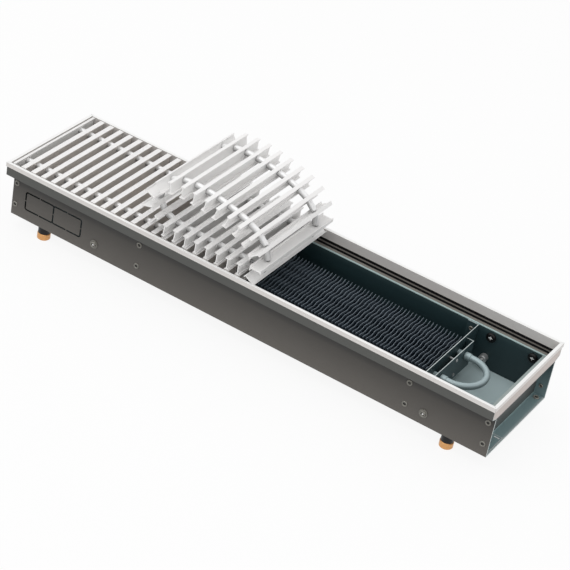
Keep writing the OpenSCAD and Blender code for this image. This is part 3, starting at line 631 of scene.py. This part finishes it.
def islands(node):
    """Vertex arrays of the separate solids in a CAD node, in the order of X."""
    source = bmesh.new()
    source.from_mesh(frame["nodes"][node].data)
    bmesh.ops.remove_doubles(source, verts=source.verts, dist=WELD)
    source.verts.ensure_lookup_table()
    seen = set()
    found = []
    for start in source.verts:
        if start.index in seen:
            continue
        seen.add(start.index)
        group, queue = [], [start]
        while queue:
            vertex = queue.pop()
            group.append(tuple(vertex.co))
            for edge in vertex.link_edges:
                other = edge.other_vert(vertex)
                if other.index not in seen:
                    seen.add(other.index)
                    queue.append(other)
        found.append(np.array(group))
    source.free()
    return sorted(found, key=lambda points: tuple(points.mean(axis=0).round(5)))


def corners(points):
    """(lowest corner, highest corner) of the box round some points."""
    return points.min(axis=0), points.max(axis=0)


def rod(points):
    """(middle, direction, length) of a long round solid."""
    middle = points.mean(axis=0)
    direction = np.linalg.svd(points - middle)[2][0]
    along = (points - middle) @ direction
    middle = middle + direction * (along.max() + along.min()) / 2
    return Vector(middle), Vector(direction), along.max() - along.min()


def shank(points):
    """(head end, foot end, direction towards the head) of a fixing, whose head looks up or out."""
    low, high = corners(points)
    spans = high - low
    middle = (low + high) / 2
    axis = int(np.argmax(abs(spans - np.median(spans))))
    upright = axis == len(spans) - 1
    direction = np.zeros(len(spans))
    direction[axis] = 1.0 if upright else math.copysign(1.0, middle[axis])
    half = direction * spans[axis] / 2
    return middle + half, middle - half, direction


# Geometry trees


def new_object(name, data):
    """An object at the origin, in the scene."""
    made = bpy.data.objects.new(name, data)
    bpy.context.scene.collection.objects.link(made)
    return made


def new_tree(name, labels):
    """(graph, points, sizes) of a new tree, whose inputs are points and the sizes that the labels name."""
    tree = bpy.data.node_groups.new(name, "GeometryNodeTree")
    tree.interface.new_socket("Geometry", in_out="INPUT", socket_type="NodeSocketGeometry")
    for label in labels:
        tree.interface.new_socket(label, in_out="INPUT", socket_type="NodeSocketFloat")
    tree.interface.new_socket("Geometry", in_out="OUTPUT", socket_type="NodeSocketGeometry")
    graph = Graph(tree)
    points = graph.add("NodeGroupInput")
    return graph, points, [points.out(label) for label in labels]


def finish_tree(graph, geometry, material):
    """Ends a tree with real faces of one material."""
    whole = graph.add("GeometryNodeRealizeInstances", None, {"Geometry": geometry})
    dressed = graph.add("GeometryNodeSetMaterial", None, {"Geometry": whole, "Material": material})
    graph.add("NodeGroupOutput", None, {0: dressed})
    return graph.tree


def carried(graph, name, kind):
    """A value that the points carry."""
    return graph.add("GeometryNodeInputNamedAttribute", {"data_type": kind}, {"Name": name})


def turned_to_points(graph):
    """Turns upright copies to the directions that the points carry."""
    direction = carried(graph, "direction", "FLOAT_VECTOR")
    return graph.add("FunctionNodeAlignRotationToVector", {"axis": "Z"}, {"Vector": direction})


def smooth(graph, geometry):
    """The geometry with smooth shading."""
    return graph.add("GeometryNodeSetShadeSmooth", None, {0: geometry})


def joined(graph, pieces):
    """Some geometries as one."""
    return graph.add("GeometryNodeJoinGeometry", None, {"Geometry": pieces})


def marked(graph, geometry, recess):
    """The geometry with the recess attribute that its finish reads: over 0 for painted shade, far below 0
    for a painted glint.
    """
    settings = {"data_type": "FLOAT", "domain": "POINT"}
    sockets = {"Geometry": geometry, "Name": "recess", "Value": recess}
    return graph.add("GeometryNodeStoreNamedAttribute", settings, sockets)


def grow(name, tree, values, points, axes=None, lengths=None):
    """Runs a tree on loose points that carry a direction and a length, and keeps the plain mesh."""
    seed = bpy.data.meshes.new(name + " points")
    seed.from_pydata([tuple(p) for p in points], [], [])
    if axes is not None:
        layer = seed.attributes.new("direction", "FLOAT_VECTOR", "POINT")
        layer.data.foreach_set("vector", [number for axis in axes for number in axis])
    if lengths is not None:
        layer = seed.attributes.new("length", "FLOAT", "POINT")
        layer.data.foreach_set("value", list(lengths))
    holder = new_object(name, seed)
    modifier = holder.modifiers.new(name, "NODES")
    modifier.node_group = tree
    for item in tree.interface.items_tree:
        if item.in_out == "INPUT" and item.name in values:
            modifier[item.identifier] = values[item.name]
    evaluated = holder.evaluated_get(bpy.context.evaluated_depsgraph_get())
    mesh = bpy.data.meshes.new_from_object(evaluated)
    holder.modifiers.remove(modifier)
    holder.data = mesh
    mesh.name = name
    return holder


def spring_tree(name, material):
    """A wound wire on each point, along the point's direction and as long as its length."""
    labels = ["Wire", "Coil", "Pitch", "Longest", "Steps"]
    graph, points, (wire, coil, pitch, longest, steps) = new_tree(name, labels)
    radius = (coil - wire) / 2
    helix = graph.add(
        "GeometryNodeCurveSpiral", None,
        {"Resolution": steps, "Rotations": longest / pitch, "Start Radius": radius,
         "End Radius": radius, "Height": longest},
    )
    centred = graph.add(
        "GeometryNodeTransform", None,
        {"Geometry": helix, "Translation": graph.vector(z=longest * -0.5)},
    )
    profile = graph.add("GeometryNodeCurvePrimitiveCircle", None, {"Resolution": 5, "Radius": wire / 2})
    tube = graph.add(
        "GeometryNodeCurveToMesh", None,
        {"Curve": centred, "Profile Curve": profile, "Fill Caps": True},
    )
    share = carried(graph, "length", "FLOAT") / longest
    spread = graph.add(
        "GeometryNodeInstanceOnPoints", None,
        {"Points": points, "Instance": tube, "Rotation": turned_to_points(graph),
         "Scale": graph.vector(1.0, 1.0, share)},
    )
    return finish_tree(graph, smooth(graph, spread), material)


def fin_tree(material):
    """Waved fins in a row from a point under the middle of the first one, with collars round the tubes."""
    faces_a_wave = 12.0
    labels = [
        "Width", "Height", "Sheet", "Wave", "Waves", "Pitch", "Count", "Collar", "Tube side", "Tube rise",
    ]
    graph, points, sizes = new_tree("waved fins", labels)
    width, height, sheet, wave, waves, pitch, count, collar, tube_side, tube_rise = sizes
    grid = graph.add(
        "GeometryNodeMeshGrid", None,
        {"Size X": width, "Size Y": height, "Vertices X": waves * faces_a_wave + 1.0, "Vertices Y": 2},
    )
    across, up, _ = graph.axes(graph.add("GeometryNodeInputPosition"))
    depth = (1.0 - (across / width * waves * math.tau).cosine()) * 0.5 * wave
    place = graph.vector(depth, across, up + height * 0.5)
    sheet_face = graph.add("GeometryNodeSetPosition", None, {"Geometry": grid, "Position": place})
    front = graph.add(
        "GeometryNodeExtrudeMesh", {"mode": "FACES"},
        {"Mesh": sheet_face, "Offset": graph.vector(sheet), "Offset Scale": 1.0, "Individual": False},
    )
    back = graph.add("GeometryNodeFlipFaces", None, {"Mesh": sheet_face})
    fin = graph.add(
        "GeometryNodeMergeByDistance", None,
        {"Geometry": joined(graph, [back, front]), "Distance": WELD},
    )
    row = graph.add(
        "GeometryNodeMeshLine", {"mode": "OFFSET"}, {"Count": count, "Offset": graph.vector(pitch)},
    )
    pack = [graph.add("GeometryNodeInstanceOnPoints", None, {"Points": row, "Instance": fin})]
    length = (count - 1.0) * pitch + sheet + wave
    sleeve = graph.add(
        "GeometryNodeMeshCylinder", None, {"Vertices": 24, "Radius": collar, "Depth": length},
    )
    for side in (-1.0, 1.0):
        place = graph.vector(length * 0.5, tube_side * side, tube_rise)
        pack.append(graph.add(
            "GeometryNodeTransform", None,
            {"Geometry": sleeve, "Translation": place, "Rotation": (0.0, math.pi / 2, 0.0)},
        ))
    spread = graph.add(
        "GeometryNodeInstanceOnPoints", None, {"Points": points, "Instance": joined(graph, pack)},
    )
    return finish_tree(graph, spread, material)


def head_tree(name, material):
    """A domed ring on each point, scaled by the point's length, with a dark plug of painted shade in its
    opening and a round pin in it.
    """
    plug_share = 1.15
    labels = ["Outer", "Hole", "Height", "Depth", "Pin", "Pin recess"]
    graph, points, (outer, hole, height, depth, pin_share, pin_recess) = new_tree(name, labels)
    half = (outer - hole) * 0.5
    path = graph.add(
        "GeometryNodeCurvePrimitiveCircle", None, {"Resolution": 32, "Radius": (outer + hole) * 0.5},
    )
    profile = graph.add("GeometryNodeCurvePrimitiveCircle", None, {"Resolution": 12, "Radius": half})
    ring = graph.add("GeometryNodeCurveToMesh", None, {"Curve": path, "Profile Curve": profile})
    ring = graph.add(
        "GeometryNodeTransform", None, {"Geometry": ring, "Scale": graph.vector(1.0, 1.0, height / half)},
    )
    # Dark plug that stands in for the shade in the ring's opening
    shade_plug = graph.add(
        "GeometryNodeMeshCylinder", None, {"Vertices": 24, "Radius": hole * plug_share, "Depth": depth},
    )
    pin = graph.add(
        "GeometryNodeMeshUVSphere", None, {"Segments": 16, "Rings": 8, "Radius": hole * pin_share},
    )
    pin = graph.add(
        "GeometryNodeTransform", None, {"Geometry": pin, "Translation": graph.vector(z=depth * 0.5)},
    )
    parts = [
        marked(graph, smooth(graph, ring), 0.0),
        marked(graph, shade_plug, 1.0),
        marked(graph, smooth(graph, pin), pin_recess),
    ]
    scale = carried(graph, "length", "FLOAT")
    spread = graph.add(
        "GeometryNodeInstanceOnPoints", None,
        {"Points": points, "Instance": joined(graph, parts), "Rotation": turned_to_points(graph),
         "Scale": graph.vector(scale, scale, scale)},
    )
    return finish_tree(graph, spread, material)


def lips_tree(material):
    """A cross of two rubber lips on each point, facing the point's direction."""
    graph, points, (reach, width, height) = new_tree("slit lips", ["Reach", "Width", "Height"])
    ball = graph.add("GeometryNodeMeshUVSphere", None, {"Segments": 16, "Rings": 8, "Radius": 1.0})
    lips = [
        graph.add("GeometryNodeTransform", None, {"Geometry": ball, "Scale": scale})
        for scale in (graph.vector(reach, width, height), graph.vector(width, reach, height))
    ]
    spread = graph.add(
        "GeometryNodeInstanceOnPoints", None,
        {"Points": points, "Instance": joined(graph, lips), "Rotation": turned_to_points(graph)},
    )
    return finish_tree(graph, smooth(graph, spread), material)


# Operators


def seen_rays(graph):
    """1 for rays that show a surface, straight, mirrored or through glass, and 0 for rays that light."""
    rays = graph.add("ShaderNodeLightPath")
    straight, mirrored = rays.out("Is Camera Ray"), rays.out("Is Glossy Ray")
    return straight.larger(mirrored).larger(rays.out("Is Transmission Ray"))


class HEATER_OT_stage(bpy.types.Operator):
    """Set up the camera, the lamps and the white floor"""

    bl_idname = "heater.stage"
    bl_label = "Camera, lamps and floor"

    # Place and axes of the camera, solved from the corners and edges of the frame in the photo
    CAMERA_PLACE = (1.0946, -2.1487, 1.6733)
    CAMERA_RIGHT = (0.83006, 0.53447, 0.15921)
    CAMERA_FORWARD = (-0.37123, 0.74259, -0.55744)
    CAMERA_SIGHT = 50.0
    LAMP_TARGET = (0.0, 0.0, 0.05)
    TOP_LIGHT_PLACE = (-0.5, -0.4, 2.4)
    TOP_LIGHT_SIZE = 2.4
    FRONT_LIGHT_PLACE = (1.6, -2.4, 1.3)
    FRONT_LIGHT_SIZE = 1.6
    FLOOR_SIZE = 14.0
    FLOOR_GREY = (0.95, 0.95, 0.95, 1.0)
    FLOOR_GLOW = 0.9
    WHITE = (1.0, 1.0, 1.0, 1.0)
    ROOM_LIGHT = 0.7

    def execute(self, context):
        stage = context.scene.heater_stage
        context.scene.view_settings.view_transform = "Standard"
        self._camera(context.scene, stage.lens)
        self._floor()
        self._world(context.scene)
        self._lamp("top light", self.TOP_LIGHT_PLACE, self.TOP_LIGHT_SIZE, stage.key_power)
        self._lamp("front light", self.FRONT_LIGHT_PLACE, self.FRONT_LIGHT_SIZE, stage.fill_power)
        return {"FINISHED"}

    def _camera(self, scene, lens):
        data = bpy.data.cameras.new("camera")
        data.lens = lens
        data.clip_end = self.CAMERA_SIGHT
        right, forward = Vector(self.CAMERA_RIGHT), Vector(self.CAMERA_FORWARD)
        turn = Matrix((right, right.cross(forward), -forward)).transposed()
        camera = new_object("camera", data)
        camera.matrix_world = Matrix.Translation(self.CAMERA_PLACE) @ turn.to_4x4()
        scene.camera = camera

    def _lamp(self, name, place, size, power):
        data = bpy.data.lights.new(name, "AREA")
        data.shape = "DISK"
        data.size = size
        data.energy = power
        aim = Vector(self.LAMP_TARGET) - Vector(place)
        lamp = new_object(name, data)
        lamp.location = place
        lamp.rotation_euler = aim.to_track_quat("-Z", "Y").to_euler()

    def _floor(self):
        half = self.FLOOR_SIZE / 2
        outline = [(-half, -half, 0), (half, -half, 0), (half, half, 0), (-half, half, 0)]
        mesh = bpy.data.meshes.new("floor")
        mesh.from_pydata(outline, [], [(0, 1, 2, 3)])
        floor = new_object("floor", mesh)
        material = bpy.data.materials.new("white floor")
        graph = Graph(cleared_tree(material))
        matte = graph.add("ShaderNodeBsdfDiffuse", None, {"Color": self.FLOOR_GREY})
        glow = graph.add("ShaderNodeEmission", None, {"Color": self.WHITE, "Strength": 1.0})
        share = seen_rays(graph) * self.FLOOR_GLOW
        mixed = graph.add("ShaderNodeMixShader", None, {0: share, 1: matte, 2: glow})
        graph.add("ShaderNodeOutputMaterial", None, {"Surface": mixed})
        mesh.materials.append(material)

    def _world(self, scene):
        scene.world = bpy.data.worlds.new("white room")
        graph = Graph(cleared_tree(scene.world))
        strength = seen_rays(graph) * (1.0 - self.ROOM_LIGHT) + self.ROOM_LIGHT
        sky = graph.add("ShaderNodeBackground", None, {"Color": self.WHITE, "Strength": strength})
        graph.add("ShaderNodeOutputWorld", None, {"Surface": sky})


class HEATER_OT_finishes(bpy.types.Operator):
    """Give every piece of the frame its paint or metal"""

    bl_idname = "heater.finishes"
    bl_label = "Finishes"

    # Stretch of the draw lines on bars that run along X and along Y
    ALONG_X = (8.0, 900.0, 900.0)
    ALONG_Y = (900.0, 8.0, 900.0)

    # Nodes that don't look like the rest of their material slot
    OWN_FINISHES = {
        "end_plate_left": "end_plate_paint",
        "end_plate_right": "end_plate_paint",
        "frame_front": "frame_aluminium",
        "frame_back": "frame_aluminium",
        "frame_left": "frame_end_aluminium",
        "frame_right": "frame_end_aluminium",
        "flat_slats": "flat_slat_aluminium",
        "rubber_strips": "strip_rubber",
        "side_washers": "rivet_metal",
    }

    def execute(self, context):
        colours = context.scene.heater_colours
        # The sides of the frame and of the flat slats take painted shade colours
        top, side = colours.aluminium, colours.frame_side_shade
        slat, web_shade = colours.slat, colours.flat_web_shade
        finishes = {
            "casing_paint": casing_paint(colours),
            "inner_paint": inner_paint(colours),
            "end_plate_paint": end_plate_paint(colours),
            "frame_aluminium": sided_aluminium("frame aluminium", top, side, self.ALONG_X),
            "frame_end_aluminium": sided_aluminium("frame end aluminium", top, side, self.ALONG_Y),
            "flat_slat_aluminium": sided_aluminium("flat slat aluminium", slat, web_shade, self.ALONG_Y),
            "anodised_aluminium": plain_aluminium("slat aluminium", slat, self.ALONG_Y),
            # Bushes and tubes take painted shade on their undersides
            "plain_aluminium": round_metal("bush aluminium", colours.bush, metallic=0.2, shade=0.36),
            "black_rubber": rubber("black rubber", colours.black, rough=0.3, gloss=0.25),
            "strip_rubber": strip_rubber(colours),
            # The grommet lips are a painted highlight on black rubber
            "lip_rubber": rubber("worn lips", colours.painted_highlight, rough=0.25, gloss=0.5),
            "black_sleeve": rubber("black sleeve", colours.black, rough=0.3, gloss=0.3),
            "fin_paint": fin_paint(colours),
            "painted_tube": round_metal("painted tube", colours.tube, metallic=0.1, shade=0.5),
            "brass_fitting": turned_metal("brass", colours.brass, metallic=0.8, rough=0.25),
            "foot_brass": turned_metal("foot metal", colours.foot, metallic=0.5, rough=0.25),
            "rivet_metal": rivet_metal(colours),
            "spring_steel": turned_metal("spring steel", colours.zinc, metallic=0.7, rough=0.3),
            "zinc_steel": turned_metal("zinc plate", colours.zinc, metallic=0.5, rough=0.3),
        }
        slots = {row["node"]: row["material_slot"] for row in frame["record"]["subparts"]}
        for node, piece in frame["nodes"].items():
            material = finishes[self.OWN_FINISHES.get(node, slots[node])]
            piece.data.materials.clear()
            piece.data.materials.append(material)
        return {"FINISHED"}


class HEATER_OT_springs(bpy.types.Operator):
    """Wind the springs that thread the rolled slats"""

    bl_idname = "heater.springs"
    bl_label = "Springs"

    STEPS_A_TURN = 12.0

    # Bodies of the roll and the nodes of their springs
    SPRING_NODES = {
        "fold_1": "fold_springs_1",
        "fold_2": "fold_springs_2",
        "fold_3": "fold_springs_3",
        "crown": "crown_springs",
        "inner_layer": "inner_springs",
    }

    def execute(self, context):
        sizes = context.scene.heater_sizes
        tree = spring_tree("wound spring", bpy.data.materials["spring steel"])
        for body, node in self.SPRING_NODES.items():
            middles, directions, lengths = zip(*(rod(points) for points in islands(node)))
            values = {
                "Wire": sizes.wire, "Coil": sizes.coil, "Pitch": sizes.coil_pitch,
                "Longest": max(lengths), "Steps": self.STEPS_A_TURN,
            }
            name = node.replace("springs", "wound_springs")
            piece = grow(name, tree, values, middles, directions, lengths)
            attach(piece, body)
            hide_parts(node)
        return {"FINISHED"}


class HEATER_OT_fins(bpy.types.Operator):
    """Wave the fins on the exchanger's tubes"""

    bl_idname = "heater.fins"
    bl_label = "Waved fins"

    def execute(self, context):
        sizes = context.scene.heater_sizes
        low, high = (np.array(corner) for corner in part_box("fin_pack"))
        length, width, height = high - low
        count = math.floor(length / sizes.fin_pitch) + 1
        spare = (length - (count - 1) * sizes.fin_pitch - sizes.fin_sheet - sizes.fin_ripple) / 2
        _, tube_side, tube_height = np.mean(corners(islands("exchanger_tubes")[-1]), axis=0)
        values = {
            "Width": width, "Height": height, "Sheet": sizes.fin_sheet, "Wave": sizes.fin_ripple,
            "Waves": float(sizes.fin_waves), "Pitch": sizes.fin_pitch, "Count": float(count),
            "Collar": sizes.collar, "Tube side": tube_side, "Tube rise": tube_height - low[2],
        }
        tree = fin_tree(bpy.data.materials["fin paint"])
        piece = grow("waved_fins", tree, values, [(low[0] + spare, (low[1] + high[1]) / 2, low[2])])
        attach(piece, BASE)
        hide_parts("fin_pack")
        return {"FINISHED"}


class HEATER_OT_rivets(bpy.types.Operator):
    """Set domed rings on both ends of the blind rivets"""

    bl_idname = "heater.rivets"
    bl_label = "Rivets"

    BULB_SCALE = 0.7
    OPENING_DEPTH = 0.8 * MM
    MANDREL_SHARE = 0.35
    # The mandrel pin takes half of the painted shade
    MANDREL_RECESS = 0.5

    def execute(self, context):
        sizes = context.scene.heater_sizes
        places, directions, scales = [], [], []
        for points in islands("blind_rivets"):
            end, foot, direction = shank(points)
            places += [end - direction * sizes.head_height, foot + direction * sizes.head_height]
            directions += [direction, -direction]
            scales += [1.0, self.BULB_SCALE]
        values = {
            "Outer": sizes.head, "Hole": sizes.head_hole, "Height": sizes.head_height,
            "Depth": self.OPENING_DEPTH, "Pin": self.MANDREL_SHARE, "Pin recess": self.MANDREL_RECESS,
        }
        tree = head_tree("domed ring", bpy.data.materials["rivet metal"])
        piece = grow("rivet_rings", tree, values, places, directions, scales)
        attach(piece, BASE)
        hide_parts("blind_rivets")
        return {"FINISHED"}


class HEATER_OT_side_bolts(bpy.types.Operator):
    """Set round heads and threads on the side bolts"""

    bl_idname = "heater.side_bolts"
    bl_label = "Side bolts"

    # The socket opening holds a dark plug of painted shade
    SOCKET_SHARE = 0.5
    SOCKET_DEPTH = 1.2 * MM
    CENTRE_SHARE = 0.62
    # The bolt's centre pin takes a painted glint
    CENTRE_GLINT = -1.0
    THREAD_LENGTH = 14 * MM
    THREAD_WIRE = 1.6 * MM
    THREAD_DIAMETER = 6 * MM
    THREAD_PITCH = 1.0 * MM
    STEPS_A_TURN = 24.0

    def execute(self, context):
        sizes = context.scene.heater_sizes
        ends, feet, directions = zip(*(shank(points) for points in islands("side_bolts")))
        self._heads(sizes, ends, directions)
        self._threads(feet, directions)
        return {"FINISHED"}

    def _heads(self, sizes, ends, directions):
        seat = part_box("side_washers")[1][1]
        places = [(end[0], direction[1] * seat, end[2]) for end, direction in zip(ends, directions)]
        values = {
            "Outer": sizes.bolt_head, "Hole": sizes.bolt_head * self.SOCKET_SHARE,
            "Height": sizes.bolt_height, "Depth": self.SOCKET_DEPTH,
            "Pin": self.CENTRE_SHARE, "Pin recess": self.CENTRE_GLINT,
        }
        tree = head_tree("bolt head", bpy.data.materials["rivet metal"])
        piece = grow("bolt_heads", tree, values, places, directions, [1.0] * len(places))
        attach(piece, BASE)
        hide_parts("side_bolts")

    def _threads(self, feet, directions):
        half = self.THREAD_LENGTH / 2
        middles = [foot + direction * half for foot, direction in zip(feet, directions)]
        values = {
            "Wire": self.THREAD_WIRE, "Coil": self.THREAD_DIAMETER, "Pitch": self.THREAD_PITCH,
            "Longest": self.THREAD_LENGTH, "Steps": self.STEPS_A_TURN,
        }
        tree = spring_tree("bolt thread", bpy.data.materials["zinc plate"])
        lengths = [self.THREAD_LENGTH] * len(middles)
        piece = grow("bolt_threads", tree, values, middles, directions, lengths)
        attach(piece, BASE)


class HEATER_OT_grommet_lips(bpy.types.Operator):
    """Raise lips along the slits of the cable grommets, light-coloured as a painted highlight"""

    bl_idname = "heater.grommet_lips"
    bl_label = "Grommet lips"

    SKIN_DEPTH = 2.4 * MM
    REACH = 4.4 * MM
    WIDTH = 0.8 * MM
    HEIGHT = 2.6 * MM
    TOWARDS_FRONT = (0, -1, 0)

    def execute(self, context):
        places = []
        for points in islands("cable_grommets"):
            low, high = corners(points)
            middle = (low + high) / 2
            places.append((middle[0], low[1] + self.SKIN_DEPTH, middle[2]))
        values = {"Reach": self.REACH, "Width": self.WIDTH, "Height": self.HEIGHT}
        tree = lips_tree(bpy.data.materials["worn lips"])
        piece = grow("grommet_lips", tree, values, places, [self.TOWARDS_FRONT] * len(places))
        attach(piece, BASE)
        return {"FINISHED"}


class HEATER_OT_pipe_threads(bpy.types.Operator):
    """Lay threads in the bores of the water connections"""

    bl_idname = "heater.pipe_threads"
    bl_label = "Pipe threads"

    LEAD_IN = 0.6 * MM
    LENGTH = 13 * MM
    WIRE = 1.0 * MM
    DIAMETER = 18.9 * MM
    PITCH = 1.8 * MM
    STEPS_A_TURN = 36.0
    ALONG_PIPE = (1, 0, 0)

    def execute(self, context):
        places = []
        for points in islands("connection_fittings"):
            low, high = corners(points)
            middle = (low + high) / 2
            places.append((low[0] + self.LEAD_IN + self.LENGTH / 2, middle[1], middle[2]))
        values = {
            "Wire": self.WIRE, "Coil": self.DIAMETER, "Pitch": self.PITCH,
            "Longest": self.LENGTH, "Steps": self.STEPS_A_TURN,
        }
        tree = spring_tree("pipe thread", bpy.data.materials["brass"])
        directions, lengths = [self.ALONG_PIPE] * len(places), [self.LENGTH] * len(places)
        piece = grow("pipe_threads", tree, values, places, directions, lengths)
        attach(piece, BASE)
        return {"FINISHED"}


class HEATER_PT_panel(bpy.types.Panel):
    """Lists the steps that dress the heater, with their sizes and colours"""

    bl_idname = "HEATER_PT_panel"
    bl_label = "Trench heater"
    bl_space_type = "VIEW_3D"
    bl_region_type = "UI"
    bl_category = "Trench heater"

    def draw(self, context):
        for step in STEPS:
            self.layout.operator(step.bl_idname)
        for group in (context.scene.heater_sizes, context.scene.heater_colours, context.scene.heater_stage):
            box = self.layout.box()
            for name in group.__annotations__:
                box.prop(group, name)


STEPS = (
    HEATER_OT_stage,
    HEATER_OT_finishes,
    HEATER_OT_springs,
    HEATER_OT_fins,
    HEATER_OT_rivets,
    HEATER_OT_side_bolts,
    HEATER_OT_grommet_lips,
    HEATER_OT_pipe_threads,
)
GROUPS = {
    "heater_colours": HeaterColours,
    "heater_sizes": HeaterSizes,
    "heater_stage": HeaterStage,
}


def register():
    for name, group in GROUPS.items():
        bpy.utils.register_class(group)
        setattr(bpy.types.Scene, name, bpy.props.PointerProperty(type=group))
    for step in STEPS:
        bpy.utils.register_class(step)
    bpy.utils.register_class(HEATER_PT_panel)


def unregister():
    bpy.utils.unregister_class(HEATER_PT_panel)
    for step in reversed(STEPS):
        bpy.utils.unregister_class(step)
    for name, group in reversed(GROUPS.items()):
        delattr(bpy.types.Scene, name)
        bpy.utils.unregister_class(group)


def main():
    register()
    for step in STEPS:
        area, name = step.bl_idname.split(".")
        getattr(getattr(bpy.ops, area), name)()


if __name__ == "__main__":
    main()
